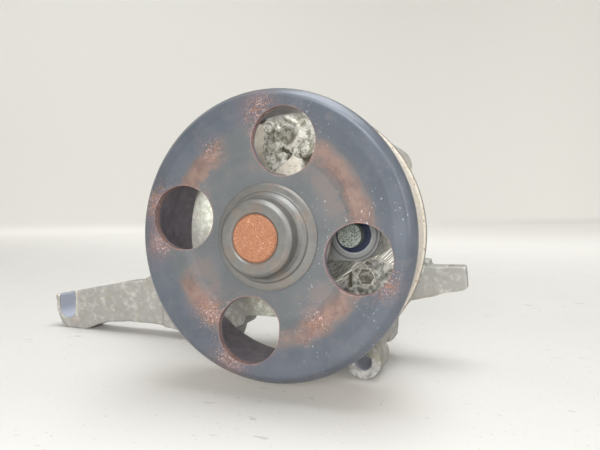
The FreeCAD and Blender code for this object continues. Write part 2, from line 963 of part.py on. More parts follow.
def cut_slot(body):
    """The adjusting slot in the long arm's tip, open at the top and round at the bottom."""
    corners = outline_corners("slot")
    left, right = corners[0], corners[1]
    bottom = (size.slot_x, size.slot_z - size.slot_half_width)
    slot = outline_sketch(
        body,
        "slot_outline",
        "XZ_Plane",
        [left, (right[0], right[1], bottom[0], bottom[1]), corners[2], corners[3]],
    )
    pocketed(body, "slot", slot)


def cut_side_hole(body):
    """An upright bolt hole through the short arm, with a spot face under it."""
    place = (size.side_hole_x, size.side_hole_y)
    hole = circle_sketch(body, "side_hole_circle", "XY_Plane", *place, size.side_hole_radius)
    pocketed(body, "side_hole", hole)
    face = circle_sketch(
        body, "side_face_circle", "XY_Plane", *place, size.side_face_radius, size.side_face_z
    )
    pocketed(body, "side_face", face, size.side_face_depth)


def cut_weep_passages(body):
    """The drain down from the weep chamber, and the cross hole to the breather bore."""
    drain = circle_sketch(
        body, "weep_circle", "XY_Plane", 0.0, size.weep_y, size.weep_hole_radius
    )
    pocketed(body, "weep_hole", drain, size.weep_hole_depth)
    cross = circle_sketch(
        body, "cross_circle", "YZ_Plane", size.weep_y, size.breather_z, size.weep_hole_radius
    )
    pocketed(body, "cross_hole", cross, size.breather_x, flipped=True)


def cut_mark(body):
    """A shallow hexagonal recess left in the casting's shoulder by the die."""
    corners = []
    for i in range(6):
        across, up = around_axis(1.0, 60.0 * i)
        corners.append(
            (size.mark_x + size.mark_size * across, size.mark_z + size.mark_size * up)
        )
    mark = outline_sketch(body, "mark_outline", "XZ_Plane", corners, size.shoulder_reach)
    pocketed(body, "mark", mark, size.mark_depth)


def make_breather():
    """The porous breather plug and the dark sleeve that holds it in its bore."""
    start = V(size.breather_x.value, size.snout_front_y.value, size.breather_z.value)
    length = size.breather_length.value
    out = size.breather_filter_out.value
    filter_radius = size.breather_filter_radius.value
    sleeve = Part.makeCylinder(size.breather_bore_radius.value, length, start, V(0, 1, 0))
    sleeve = sleeve.cut(Part.makeCylinder(filter_radius, length, start, V(0, 1, 0)))
    shape_part("breather_sleeve", sleeve)
    plug_start = start - V(0, out, 0)
    plug = Part.makeCylinder(filter_radius, length + out, plug_start, V(0, 1, 0))
    shape_part("breather_filter", plug)


def make_flange_ring():
    """The rubber ring in the mounting face's groove, standing proud of it."""
    section = size.ring_section_radius
    middle = section - size.ring_groove_depth
    radius = size.ring_groove_radius
    ring_part(
        "flange_seal_ring",
        [
            (radius + section, middle, radius, middle - section),
            (radius - section, middle, radius, middle + section),
        ],
    )


def make_dowels():
    """Two hollow dowels round the bolts, thinner where they stand out of the mounting face."""
    sleeves = []
    for name in DOWELLED:
        x, z = (size.get(f"{name}_boss_{key}").value for key in ("x", "z"))
        depth = size.dowel_seat_depth.value
        length = depth + size.dowel_out.value
        start = V(x, -depth, z)
        seated = Part.makeCylinder(size.dowel_seat_radius.value, depth, start, V(0, 1, 0))
        proud = Part.makeCylinder(size.dowel_radius.value, length, start, V(0, 1, 0))
        bore = Part.makeCylinder(size.dowel_bore_radius.value, length, start, V(0, 1, 0))
        sleeves.append(seated.fuse(proud).cut(bore))
    shape_part("dowel_sleeves", Part.makeCompound(sleeves))


# ---------------------------------------------------------------- make, test and write


def test_and_write():
    """Stops on any failed feature or bad shape, and only then writes the files."""
    for thing in doc.Objects:
        bad = [state for state in thing.State if state in ("Invalid", "Error")]
        if bad:
            raise RuntimeError(f"{thing.Name} is {bad}")
    for part in made:
        if part.Shape.isNull() or not part.Shape.isValid():
            raise RuntimeError(f"{part.Label} has no valid shape")
    os.makedirs("parts", exist_ok=True)
    for part in made:
        part.Shape.exportStep(f"parts/{part.Label}.step")
        volume = part.Shape.Volume / 1000
        print(f"{part.Label}: {len(part.Shape.Solids)} solid(s), {volume:.2f} cm3")


make_pulley()
make_hub()
make_shaft()
make_impeller()
make_mating_ring()
make_slinger()
make_bearing()
make_face_seal()
make_spring()
make_body()
make_breather()
make_flange_ring()
make_dowels()
doc.recompute()
test_and_write()
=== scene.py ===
"""Looks of the water pump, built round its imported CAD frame.

Metres, +Z up, the shaft along Y with the pulley towards -Y. Sizes of the pump are given in
millimetres and multiplied by MM where they are used; the room and its lights are in metres.
"""

import math

import bmesh
import bpy
import numpy as np
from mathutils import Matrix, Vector, noise


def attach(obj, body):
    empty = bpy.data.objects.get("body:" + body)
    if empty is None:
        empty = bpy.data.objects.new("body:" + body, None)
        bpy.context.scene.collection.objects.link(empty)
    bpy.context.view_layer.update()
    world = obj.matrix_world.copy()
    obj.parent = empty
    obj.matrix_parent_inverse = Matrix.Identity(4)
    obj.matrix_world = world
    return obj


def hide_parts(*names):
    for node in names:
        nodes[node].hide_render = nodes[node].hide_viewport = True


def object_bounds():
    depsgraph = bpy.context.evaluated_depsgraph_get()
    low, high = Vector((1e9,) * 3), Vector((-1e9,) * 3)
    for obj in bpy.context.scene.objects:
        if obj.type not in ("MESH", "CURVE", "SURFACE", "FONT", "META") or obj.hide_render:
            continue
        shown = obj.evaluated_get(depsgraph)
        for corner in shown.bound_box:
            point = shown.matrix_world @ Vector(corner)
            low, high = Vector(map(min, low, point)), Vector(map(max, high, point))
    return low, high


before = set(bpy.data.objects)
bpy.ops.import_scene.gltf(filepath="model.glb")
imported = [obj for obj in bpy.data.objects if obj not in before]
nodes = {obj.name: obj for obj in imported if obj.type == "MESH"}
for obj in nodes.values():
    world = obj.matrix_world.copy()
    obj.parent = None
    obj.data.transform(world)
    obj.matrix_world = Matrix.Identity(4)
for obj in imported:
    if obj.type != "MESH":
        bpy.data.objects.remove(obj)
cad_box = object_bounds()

MM = 0.001
TO_MM = 1 / MM
scene = bpy.context.scene


def srgb(red, green, blue):
    """A colour given as 0 to 255 display values, as linear values with alpha."""
    linear = []
    for value in (red, green, blue):
        value /= 255
        linear.append(value / 12.92 if value <= 0.04045 else ((value + 0.055) / 1.055) ** 2.4)
    return (*linear, 1.0)


# ---------------------------------------------------------------- places on the pump

LOWEST = cad_box[0][2] / MM
# The pulley's web and its four windows.
WEB_Y = -77.0
WINDOW_CIRCLE = 33.0
WINDOW_RADIUS = 11.6
WINDOW_ANGLE = -11.3
DRILL_Y = -76.0
DRILL_LENGTH = 30.0
# Places on the pulley's face, each with the reach of the rust round it.
STRONG_RUST = (
    ((18.0, WEB_Y, -30.0), 26.0),
    ((30.0, WEB_Y, 16.0), 24.0),
    ((-24.0, WEB_Y, -24.0), 22.0),
    ((-26.0, WEB_Y, 25.0), 24.0),
)
FLAKING_RUST = (
    ((-43.0, WEB_Y, 12.0), 13.0),
    ((-42.0, WEB_Y, -3.0), 11.0),
    ((-2.0, WEB_Y, 43.0), 12.0),
    ((-22.0, WEB_Y, -27.0), 12.0),
    ((-14.0, WEB_Y, -44.0), 12.0),
    ((-20.0, WEB_Y, 30.0), 9.0),
    ((19.0, WEB_Y, -27.0), 9.0),
    ((42.0, WEB_Y, -14.0), 9.0),
)
# The casting's faces that look towards the pulley.
EAR_FACE_Y = -37.0
SHOULDER_FACE_Y = -28.0
BREATHER_FACE = (25.3, -56.0, 0.3)
LUG_FACE = (26.0, -44.0, -49.3)
LUG_WEB = (30.5, -42.0, -44.0)
# The belt adjuster's slot in the long arm.
SLOT_LEFT = -156.3
SLOT_RIGHT = -143.7
SLOT_BOTTOM = -51.6
SLOT_FRONT = -12.5
# Paler patches behind the left and the bottom window, which are painted light, and a darker olive
# patch on the first one.
LIT_SKIN_PATCHES = (((-50.0, -18.0, 8.0), 22.0), ((-24.0, -20.0, -34.0), 18.0))
OLIVE_PATCH = (-44.5, -20.0, 3.0)
# The middle of the rings that the milling cutter left on the shoulder.
MILLING_MIDDLE = (-20.7, SHOULDER_FACE_Y, 45.5)
# A six-sided recess in the shoulder: x and z.
RECESS = (23.4, -18.4)


def window_centres():
    """The x and z of the middle of each window."""
    places = []
    for turn in range(4):
        angle = math.radians(WINDOW_ANGLE + 90 * turn)
        places.append((WINDOW_CIRCLE * math.cos(angle), WINDOW_CIRCLE * math.sin(angle)))
    return places


# ---------------------------------------------------------------- materials


class Look:
    """Builds the nodes of one procedural material. Lengths are in millimetres."""

    def __init__(self, name, **values):
        self.material = bpy.data.materials.new(name)
        self.material.use_nodes = True
        self.tree = self.material.node_tree
        self.shader = self.tree.nodes["Principled BSDF"]
        self.place = self.add("TexCoord").outputs["Object"]
        self.set(**values)

    def set(self, **values):
        """Sets the shader's inputs; an underscore in a name stands for a space."""
        for name, value in values.items():
            self.put(self.shader.inputs[name.replace("_", " ")], value)

    def put(self, socket, value):
        """Links another node's output to an input, or gives it a plain value."""
        if isinstance(value, bpy.types.NodeSocket):
            self.tree.links.new(value, socket)
        else:
            socket.default_value = value

    def add(self, kind, inputs=None, **settings):
        """A new node with its inputs and settings."""
        node = self.tree.nodes.new("ShaderNode" + kind)
        for name, value in settings.items():
            setattr(node, name, value)
        for key, value in (inputs or {}).items():
            self.put(node.inputs[key], value)
        return node

    def math(self, operation, first, second=0.0, clamp=False):
        """The result of one sum on numbers or outputs."""
        node = self.add("Math", {0: first, 1: second}, operation=operation, use_clamp=clamp)
        return node.outputs[0]

    def both(self, first, second):
        """The product, which is high only where both are."""
        return self.math("MULTIPLY", first, second)

    def opposite(self, value):
        """1 minus the value."""
        return self.math("SUBTRACT", 1.0, value)

    def scaled(self, factors):
        """The place on the piece with each coordinate multiplied by a factor."""
        node = self.add("VectorMath", {0: self.place, 1: factors}, operation="MULTIPLY")
        return node.outputs[0]

    def noise(self, size, detail=4.0, rough=0.6, stretch=(1, 1, 1), shift=0.0):
        """Cloudy noise from 0 to 1, with lumps of about the given size."""
        place = self.scaled(tuple(1 / factor for factor in stretch))
        if shift:
            place = self.add("VectorMath", {0: place, 1: (shift, shift, shift)}).outputs[0]
        node = self.add(
            "TexNoise",
            {"Vector": place, "Scale": 1 / (size * MM), "Detail": detail, "Roughness": rough},
        )
        return node.outputs["Fac"]

    def rings(self, size, centre):
        """Noise that changes with the distance from a point only, like a cutter's marks."""
        along = self.both(self.distance(centre), 1 / size)
        inputs = {"W": along, "Scale": 1.0, "Detail": 2.0}
        return self.add("TexNoise", inputs, noise_dimensions="1D").outputs[0]

    def painted(self, name):
        """A mask that was worked out on the mesh."""
        return self.add("Attribute", attribute_name=name).outputs["Fac"]

    def between(self, value, low, high):
        """0 below low, 1 above high and a smooth step between them; high may be below low."""
        node = self.add(
            "MapRange",
            {"Value": value, "From Min": low, "From Max": high, "To Min": 0.0, "To Max": 1.0},
            interpolation_type="SMOOTHSTEP",
        )
        return node.outputs["Result"]

    def mix(self, amount, first, second):
        """The first colour where the amount is 0 and the second where it is 1."""
        node = self.add("Mix", data_type="RGBA")
        self.put(node.inputs[0], amount)
        self.put(node.inputs[6], first)
        self.put(node.inputs[7], second)
        return node.outputs[2]

    def bump(self, height, depth, strength=1.0):
        """Makes the skin look uneven; the depth is in millimetres."""
        node = self.add("Bump", {"Height": height, "Distance": depth * MM, "Strength": strength})
        self.set(Normal=node.outputs[0])

    def radius(self):
        """Distance from the shaft's axis in millimetres."""
        flat = self.scaled((TO_MM, 0.0, TO_MM))
        return self.add("VectorMath", {0: flat}, operation="LENGTH").outputs["Value"]

    def axis(self, name):
        """One coordinate in millimetres."""
        split = self.add("SeparateXYZ", {0: self.scaled((TO_MM, TO_MM, TO_MM))})
        return split.outputs[name]

    def distance(self, place):
        """Distance to a point in millimetres."""
        here = self.scaled((TO_MM, TO_MM, TO_MM))
        node = self.add("VectorMath", {0: here, 1: place}, operation="DISTANCE")
        return node.outputs["Value"]

    def blob(self, place, reach):
        """1 at a point, falling to 0 at the given reach."""
        return self.between(self.distance(place), reach, 0.0)

    def blobs(self, places):
        """The strongest of several blobs, each given as its place and reach."""
        strongest = self.blob(*places[0])
        for place, reach in places[1:]:
            strongest = self.math("MAXIMUM", strongest, self.blob(place, reach))
        return strongest


def pulley_look():
    """Worn blued steel: a glossy crown, a rusty ring, a duller web and a bare belt track."""
    look = Look("pulley_blued_steel", Coat_Weight=0.15, Coat_Roughness=0.2)
    radius = look.radius()
    along = look.axis("Y")
    cloud = look.noise(13.0, 5.0)
    patch = look.noise(4.0, 6.0, 0.65)
    grain = look.noise(0.8, 5.0, 0.7)
    uneven = look.math("SUBTRACT", patch, 0.5)
    wavering = look.math("ADD", radius, look.both(uneven, 7.0))
    crown = look.between(wavering, 36.0, 41.0)
    ring = look.both(look.between(wavering, 29.4, 32.6), look.between(wavering, 39.6, 36.0))

    # the web, the slate crown and the smooth rust between them
    web = look.mix(cloud, srgb(72, 76, 79), srgb(98, 100, 102))
    stain = look.both(look.between(cloud, 0.45, 0.62), look.between(radius, 20.0, 27.0))
    web = look.mix(look.both(stain, 0.5), web, srgb(112, 98, 93))
    slate = look.mix(cloud, srgb(68, 73, 81), srgb(96, 101, 110))
    slate = look.mix(look.between(patch, 0.5, 0.75), slate, srgb(96, 96, 101))
    rust = look.mix(look.between(patch, 0.3, 0.7), srgb(96, 77, 71), srgb(124, 102, 93))
    colour = look.mix(crown, web, slate)
    strong = look.blobs(STRONG_RUST)
    cover = look.between(look.math("ADD", look.both(strong, 0.34), cloud), 0.46, 0.78)
    colour = look.mix(look.both(look.both(ring, cover), 0.85), colour, rust)

    # the distance from the nearest window's edge
    from_middles = [look.distance((x, WEB_Y, z)) for x, z in window_centres()]
    nearest = from_middles[0]
    for from_middle in from_middles[1:]:
        nearest = look.math("MINIMUM", nearest, from_middle)
    rim = look.math("SUBTRACT", nearest, WINDOW_RADIUS)
    # flakes of rust round the windows and in some places of the ring
    near_rim = look.between(rim, 5.5, 0.2)
    flaking = look.blobs(FLAKING_RUST)
    flake_noise = look.noise(0.6, 5.0, 0.8, shift=3.0)
    flakes = look.between(flake_noise, 0.58, 0.63)
    dense = look.math("ADD", flake_noise, look.both(flaking, 0.11))
    where = look.math("ADD", near_rim, flaking, clamp=True)
    rim_flakes = look.both(look.between(dense, 0.59, 0.66), where)
    edge = look.both(look.between(rim, 0.9, 0.1), look.between(patch, 0.45, 0.65))
    rust_spots = look.math("MAXIMUM", rim_flakes, look.both(edge, 0.35))
    ring_flakes = look.both(look.both(flakes, ring), look.between(cloud, 0.5, 0.62))
    rust_spots = look.math("MAXIMUM", rust_spots, look.both(ring_flakes, 0.8))
    wall = look.both(look.between(rim, 0.35, 0.1), look.between(along, -71.0, -73.0))
    colour = look.mix(look.both(wall, 0.65), colour, srgb(136, 108, 104))
    stained = look.both(look.both(flaking, 0.5), look.between(cloud, 0.35, 0.6))
    colour = look.mix(stained, colour, srgb(122, 100, 100))
    flake_colour = look.mix(look.between(grain, 0.42, 0.58), srgb(92, 68, 62), srgb(176, 150, 142))
    orange = look.between(look.noise(2.4, 3.0, 0.6, shift=14.0), 0.5, 0.62)
    flake_colour = look.mix(orange, flake_colour, srgb(142, 98, 68))
    colour = look.mix(rust_spots, colour, flake_colour)

    # pale chips on the right, which there also serve as a painted highlight
    pale = look.both(
        look.between(look.noise(0.9, 2.0, 0.5, shift=11.0), 0.68, 0.72),
        look.between(look.noise(16.0, 2.0, 0.5, shift=5.0), 0.42, 0.6),
    )
    highlit_right_side = look.between(look.axis("X"), -10.0, 30.0)
    pale = look.both(look.both(pale, highlit_right_side), 0.6)
    colour = look.mix(pale, colour, srgb(176, 182, 192))

    # the inner side, the belt track and the rear lip
    behind = look.both(look.between(along, -75.6, -74.6), look.between(radius, 48.4, 47.9))
    inner = look.mix(look.between(patch, 0.3, 0.7), srgb(104, 99, 112), srgb(134, 126, 138))
    colour = look.mix(behind, colour, inner)

    lines = look.noise(0.5, 2.0, 0.5, stretch=(60, 1, 60), shift=2.0)
    bare = look.mix(lines, srgb(168, 161, 150), srgb(208, 201, 189))
    speck = look.both(look.between(look.noise(1.3, 4.0, 0.7, shift=9.0), 0.56, 0.62), 0.8)
    bare = look.mix(speck, bare, srgb(132, 92, 62))
    track = look.both(look.between(radius, 48.3, 48.9), look.between(along, -70.8, -69.4))
    colour = look.mix(track, colour, bare)
    lip = look.between(along, -48.8, -48.0)
    colour = look.mix(lip, colour, srgb(86, 78, 72))

    # shine: more on the crown, less on rust and on the track
    gloss = look.math("ADD", look.both(crown, -0.12), 0.5)
    gloss = look.math("ADD", gloss, look.both(uneven, 0.22))
    gloss = look.math("ADD", gloss, look.both(rust_spots, 0.4), clamp=True)
    metal = look.math("ADD", look.both(crown, 0.2), 0.2)
    metal = look.both(metal, look.math("SUBTRACT", 1.0, rust_spots, clamp=True))
    metal = look.both(metal, look.opposite(look.both(track, 0.8)))
    gloss = look.math("ADD", gloss, look.both(track, 0.25), clamp=True)
    look.set(Base_Color=colour, Roughness=gloss, Metallic=metal)
    height = look.math("ADD", look.both(rust_spots, 0.6), look.both(grain, 0.25))
    look.bump(look.math("ADD", height, look.both(patch, 0.25)), 0.12, 0.7)
    return look.material


def hub_look():
    """Dark oxide on turned steel, with fine turning lines."""
    look = Look("hub_dark_oxide", Metallic=0.7)
    patch = look.noise(3.0, 5.0, 0.6)
    grain = look.noise(0.5, 4.0, 0.7)
    lines = look.noise(0.45, 2.0, 0.5, stretch=(80, 1, 80))
    colour = look.mix(patch, srgb(104, 106, 107), srgb(140, 138, 133))
    stain = look.both(look.between(look.noise(7.0, 3.0, 0.6, shift=4.0), 0.5, 0.66), 0.4)
    colour = look.mix(stain, colour, srgb(140, 124, 112))
    look.set(
        Base_Color=colour,
        Roughness=look.math("ADD", look.both(patch, 0.25), 0.28),
    )
    look.bump(look.math("ADD", look.both(lines, 0.7), grain), 0.05, 0.6)
    return look.material


def shaft_look():
    """Ground steel; the front end has a copper-coloured rust film."""
    look = Look("shaft_ground_steel")
    along = look.axis("Y")
    film = look.between(along, -84.6, -85.2)
    patch = look.noise(2.2, 5.0, 0.65)
    grain = look.noise(0.5, 4.0, 0.7)
    steel = look.mix(patch, srgb(150, 150, 150), srgb(178, 178, 176))
    copper = look.mix(patch, srgb(122, 78, 56), srgb(158, 114, 88))
    copper = look.mix(look.between(grain, 0.52, 0.64), copper, srgb(96, 56, 38))
    pale = look.between(look.noise(0.8, 2.0, 0.5, shift=6.0), 0.62, 0.7)
    copper = look.mix(look.both(pale, 0.5), copper, srgb(200, 162, 138))
    look.set(
        Base_Color=look.mix(film, steel, copper),
        Metallic=look.math("ADD", look.both(film, -0.75), 0.95),
        Roughness=look.math("ADD", look.both(film, 0.3), 0.22),
    )
    look.bump(grain, 0.06, 0.6)
    return look.material


def casting_look():
    """Rough die-cast aluminium, stained and darker in its hollows, cleaner where it is machined."""
    look = Look("cast_aluminium", Metallic=0.15)
    cloud = look.noise(16.0, 4.0)
    patch = look.noise(3.6, 6.0, 0.68)
    grain = look.noise(0.7, 6.0, 0.75)
    x, y, z = (look.axis(name) for name in "XYZ")
    # the open skin, and behind the pulley a paler, strongly mottled skin: painted light and painted
    # shade standing in for the light that the pulley keeps off, greyer in the lower right
    open_skin = look.mix(cloud, srgb(128, 128, 124), srgb(146, 143, 139))
    open_skin = look.mix(look.between(patch, 0.45, 0.7), open_skin, srgb(166, 165, 160))
    blotch = look.noise(2.2, 7.0, 0.72, shift=12.0)
    painted_light_behind_pulley = look.mix(look.between(blotch, 0.40, 0.58), srgb(142, 139, 122), srgb(232, 231, 222))
    greyer = look.both(look.between(x, 3.0, 6.0), look.between(z, 12.0, 6.0))
    greyer_painted_light = look.mix(look.between(blotch, 0.38, 0.62), srgb(100, 100, 93), srgb(188, 188, 182))
    painted_light_behind_pulley = look.mix(greyer, painted_light_behind_pulley, greyer_painted_light)
    shelter = look.both(look.between(look.radius(), 50.0, 46.0), look.between(y, 0.5, -3.0))
    colour = look.mix(shelter, open_skin, painted_light_behind_pulley)
    # paler skin as painted light where the pulley shades the casting
    lit_patches = look.math("MULTIPLY", look.blobs(LIT_SKIN_PATCHES), 1.6, clamp=True)
    lit_patches = look.both(lit_patches, look.between(y, -2.0, -6.0))
    lit_patch_colour = look.mix(look.between(blotch, 0.4, 0.6), srgb(192, 194, 176), srgb(238, 240, 230))
    colour = look.mix(lit_patches, colour, lit_patch_colour)
    # a darker olive patch
    stain = look.between(look.distance(OLIVE_PATCH), 13.0, 8.0)
    stain = look.both(stain, look.between(patch, 0.36, 0.5))
    colour = look.mix(look.both(stain, 0.5), colour, srgb(104, 104, 78))
    # dirt, pits, hollows, ridges and what was painted on the mesh
    dirt = look.between(look.noise(5.0, 7.0, 0.75, shift=3.0), 0.52, 0.64)
    colour = look.mix(look.both(dirt, 0.35), colour, srgb(132, 127, 106))
    rosy = look.between(look.noise(9.0, 3.0, 0.6, shift=9.0), 0.56, 0.68)
    colour = look.mix(look.both(rosy, 0.22), colour, srgb(160, 142, 134))
    pits = look.between(grain, 0.56, 0.64)
    colour = look.mix(look.both(pits, 0.45), colour, srgb(104, 98, 84))
    geometry = look.add("NewGeometry")
    hollow = look.between(geometry.outputs["Pointiness"], 0.49, 0.43)
    colour = look.mix(look.both(hollow, 0.75), colour, srgb(92, 88, 74))
    ridge = look.between(geometry.outputs["Pointiness"], 0.53, 0.6)
    colour = look.mix(look.both(ridge, 0.7), colour, srgb(226, 223, 214))
    # the dark mask: painted shade in the hollows of the close faces, with real dark tones
    grime_and_painted_shade = look.mix(patch, srgb(72, 69, 60), srgb(112, 107, 92))
    colour = look.mix(look.painted("dark"), colour, grime_and_painted_shade)
    # paler where worn, and painted highlights on ridges and the slot's lip
    bared_and_highlit = look.mix(patch, srgb(224, 214, 198), srgb(246, 240, 228))
    colour = look.mix(look.painted("worn_and_highlit"), colour, bared_and_highlit)

    # the turned face round the breather, with a bright and a dark ring
    away = look.distance(BREATHER_FACE)
    boss = look.both(look.between(y, -54.6, -55.4), look.between(away, 12.0, 11.0))
    face = look.mix(grain, srgb(96, 98, 98), srgb(140, 141, 139))
    colour = look.mix(boss, colour, face)
    bright_ring = look.both(look.between(away, 6.3, 6.6), look.between(away, 7.2, 6.9))
    colour = look.mix(look.both(boss, bright_ring), colour, srgb(142, 144, 145))
    dark_ring = look.both(look.between(away, 8.2, 8.5), look.between(away, 9.1, 8.8))
    colour = look.mix(look.both(look.both(boss, dark_ring), 0.7), colour, srgb(58, 58, 56))

    # the milled shoulder, made very pale as painted light where the pulley shades it
    marks = look.between(look.rings(0.6, MILLING_MIDDLE), 0.44, 0.54)
    cut = look.painted("milled")
    lit_cut_colour = look.mix(marks, srgb(166, 161, 143), srgb(255, 254, 250))
    colour = look.mix(cut, colour, look.mix(look.both(pits, 0.5), lit_cut_colour, srgb(110, 104, 88)))

    # the smooth walls of the slot, tinted blue-grey as painted shade
    slot = look.between(x, SLOT_LEFT, SLOT_LEFT + 0.4)
    slot = look.both(slot, look.between(x, SLOT_RIGHT, SLOT_RIGHT - 0.4))
    slot = look.both(slot, look.between(z, SLOT_BOTTOM, SLOT_BOTTOM + 0.4))
    slot = look.both(slot, look.between(y, SLOT_FRONT, SLOT_FRONT + 0.6))
    slot = look.both(slot, look.between(y, -0.2, -0.6))
    colour = look.mix(slot, colour, look.mix(cloud, srgb(146, 150, 164), srgb(164, 168, 180)))

    # the lower lug: its face, the walls of its hole, made pale blue-grey as painted light, and the
    # dirty web beside it
    lug_x, lug_y, lug_z = LUG_FACE
    lug_face = look.between(look.distance(LUG_FACE), 7.6, 7.0)
    lug_face = look.both(look.between(y, lug_y + 1.0, lug_y + 0.4), lug_face)
    lug_colour = look.mix(look.between(blotch, 0.4, 0.6), srgb(118, 117, 114), srgb(168, 167, 166))
    colour = look.mix(look.both(lug_face, 0.85), colour, lug_colour)
    across = look.math("SUBTRACT", x, lug_x)
    up = look.math("SUBTRACT", z, lug_z)
    squared = look.math("ADD", look.both(across, across), look.both(up, up))
    lug_hole = look.both(look.between(squared, 15.0, 12.5), look.between(y, -10.0, -14.0))
    lug_hole = look.both(lug_hole, look.between(y, lug_y + 0.5, lug_y + 0.8))
    colour = look.mix(lug_hole, colour, look.mix(patch, srgb(146, 149, 160), srgb(188, 191, 200)))
    lug_web = look.between(look.distance(LUG_WEB), 9.0, 5.0)
    lug_web = look.both(look.between(y, -33.0, -36.0), lug_web)
    web_dirt = look.both(lug_web, look.between(patch, 0.42, 0.56))
    colour = look.mix(look.both(web_dirt, 0.7), colour, srgb(104, 102, 82))

    # the milled mounting face
    rear = look.between(y, -0.6, -0.2)
    milled = look.noise(0.7, 2.0, 0.5, stretch=(30, 1, 1), shift=8.0)
    colour = look.mix(rear, colour, look.mix(milled, srgb(168, 168, 164), srgb(198, 197, 192)))
    look.set(
        Base_Color=colour,
        Roughness=look.math("ADD", look.both(patch, 0.3), 0.42),
    )
    smooth_parts = look.math("MAXIMUM", look.both(rear, 0.8), slot)
    smooth_parts = look.math("MAXIMUM", smooth_parts, look.both(boss, 0.5))
    rough = look.opposite(smooth_parts)
    height = look.math("ADD", look.both(patch, 0.8), grain)
    height = look.math("ADD", height, look.both(blotch, shelter))
    height = look.both(height, rough)
    cut_height = look.both(look.both(marks, cut), 0.25)
    height = look.math("ADD", look.both(height, look.opposite(cut)), cut_height)
    look.bump(height, 0.28, 0.8)
    return look.material


def porous_look():
    """A sintered grey-green plug with dark pores."""
    look = Look("porous_plug")
    patch = look.noise(1.6, 4.0, 0.6)
    pores = look.between(look.noise(0.42, 3.0, 0.6, shift=2.0), 0.52, 0.60)
    pale = look.between(look.noise(0.5, 3.0, 0.6, shift=5.0), 0.56, 0.64)
    colour = look.mix(patch, srgb(104, 112, 106), srgb(140, 146, 138))
    colour = look.mix(pale, colour, srgb(172, 172, 160))
    colour = look.mix(look.both(pores, 0.85), colour, srgb(52, 56, 54))
    look.set(Base_Color=colour, Roughness=look.math("ADD", look.both(patch, 0.2), 0.6))
    look.bump(look.math("SUBTRACT", pale, pores), 0.15, 0.8)
    return look.material


def plain_look(name, dark, light, rough, metal=0.0, lump=2.0, grain=0.4, depth=0.04):
    """A quiet finish: two close tones in soft clouds, with a fine grain."""
    look = Look(name, Metallic=metal)
    cloud = look.noise(lump, 4.0, 0.6)
    fine = look.noise(grain, 3.0, 0.6)
    look.set(
        Base_Color=look.mix(cloud, dark, light),
        Roughness=look.math("ADD", look.both(fine, 0.2), rough - 0.1),
    )
    look.bump(fine, depth, 0.6)
    return look.material


rubber = plain_look("rubber", srgb(34, 34, 34), srgb(52, 51, 50), 0.7)
steel = plain_look("polished_steel", srgb(168, 170, 172), srgb(196, 197, 198), 0.25, 1.0)
stainless = plain_look("pressed_stainless", srgb(172, 172, 170), srgb(198, 197, 194), 0.35, 1.0)
nylon = plain_look("filled_nylon", srgb(72, 62, 48), srgb(92, 80, 62), 0.55)
iron = plain_look("impeller_casting", srgb(84, 80, 76), srgb(120, 112, 102), 0.6, 0.5, 4.0, 0.8, 0.2)
carbon = plain_look("pressed_carbon", srgb(38, 38, 40), srgb(54, 54, 56), 0.5)
ceramic = plain_look("lapped_ceramic", srgb(206, 203, 194), srgb(224, 221, 212), 0.3)
sleeve = plain_look("dark_sleeve", srgb(22, 27, 46), srgb(42, 48, 68), 0.35, 0.2)
dowel = plain_look("ground_dowel", srgb(140, 140, 142), srgb(170, 170, 170), 0.35, 1.0)
casting = casting_look()

NODE_LOOKS = {
    "impeller": iron,
    "seal_mating_ring": ceramic,
    "mating_ring_cup": rubber,
    "slinger": stainless,
    "bearing_outer_ring": steel,
    "bearing_balls": steel,
    "ball_cage": nylon,
    "bearing_rollers": steel,
    "roller_cage": nylon,
    "bearing_front_seal": rubber,
    "bearing_rear_seal": rubber,
    "seal_cup": stainless,
    "seal_bellows": rubber,
    "carbon_ring": carbon,
    "seal_spring": stainless,
    "breather_sleeve": sleeve,
    "breather_filter": porous_look(),
    "flange_seal_ring": rubber,
    "dowel_sleeves": dowel,
    "pump_shaft": shaft_look(),
}
for node_name, material in NODE_LOOKS.items():
    node = nodes[node_name]
    node.data.materials.clear()
    node.data.materials.append(material)


# ---------------------------------------------------------------- turned pieces


def new_object(name, mesh, material):
    """An object in the scene with one material."""
    mesh.materials.clear()
    mesh.materials.append(material)
    made = bpy.data.objects.new(name, mesh)
    scene.collection.objects.link(made)
    return made


def filleted(corners, steps=4):
    """Rounds each corner of a closed (radius, y, rounding) outline."""
    points = []
    for number, (radius, along, rounding) in enumerate(corners):
        here = Vector((radius, along))
        before = Vector(corners[number - 1][:2])
        after = Vector(corners[(number + 1) % len(corners)][:2])
        to_before = (before - here).normalized()
        to_after = (after - here).normalized()
        half = to_before.angle(to_after) / 2
        if rounding == 0 or half > math.radians(88):
            points.append(here)
            continue
        reach = min(rounding / math.tan(half), (before - here).length / 2, (after - here).length / 2)
        start = here + to_before * reach
        stop = here + to_after * reach
        for step in range(steps + 1):
            share = step / steps
            bend = start * (1 - share) ** 2 + here * 2 * share * (1 - share) + stop * share**2
            points.append(bend)
    return points


def turned(name, corners, material, segments=240):
    """Turns a closed outline about the shaft's axis."""
    outline = filleted(corners)
    mesh = bpy.data.meshes.new(name)
    points = []
    for segment in range(segments):
        angle = 2 * math.pi * segment / segments
        for radius, along in outline:
            points.append(
                (radius * math.cos(angle) * MM, along * MM, radius * math.sin(angle) * MM)
            )
    count = len(outline)
    faces = []
    for segment in range(segments):
        here, after = segment * count, (segment + 1) % segments * count
        for step in range(count):
            following = (step + 1) % count
            faces.append((here + step, here + following, after + following, after + step))
    mesh.from_pydata(points, [], faces)
    face_outwards(mesh)
    return new_object(name, mesh, material)


def face_outwards(mesh):
    """Turns every face of a closed mesh outwards."""
    shell = bmesh.new()
    shell.from_mesh(mesh)
    bmesh.ops.recalc_face_normals(shell, faces=shell.faces)
    shell.to_mesh(mesh)
    shell.free()


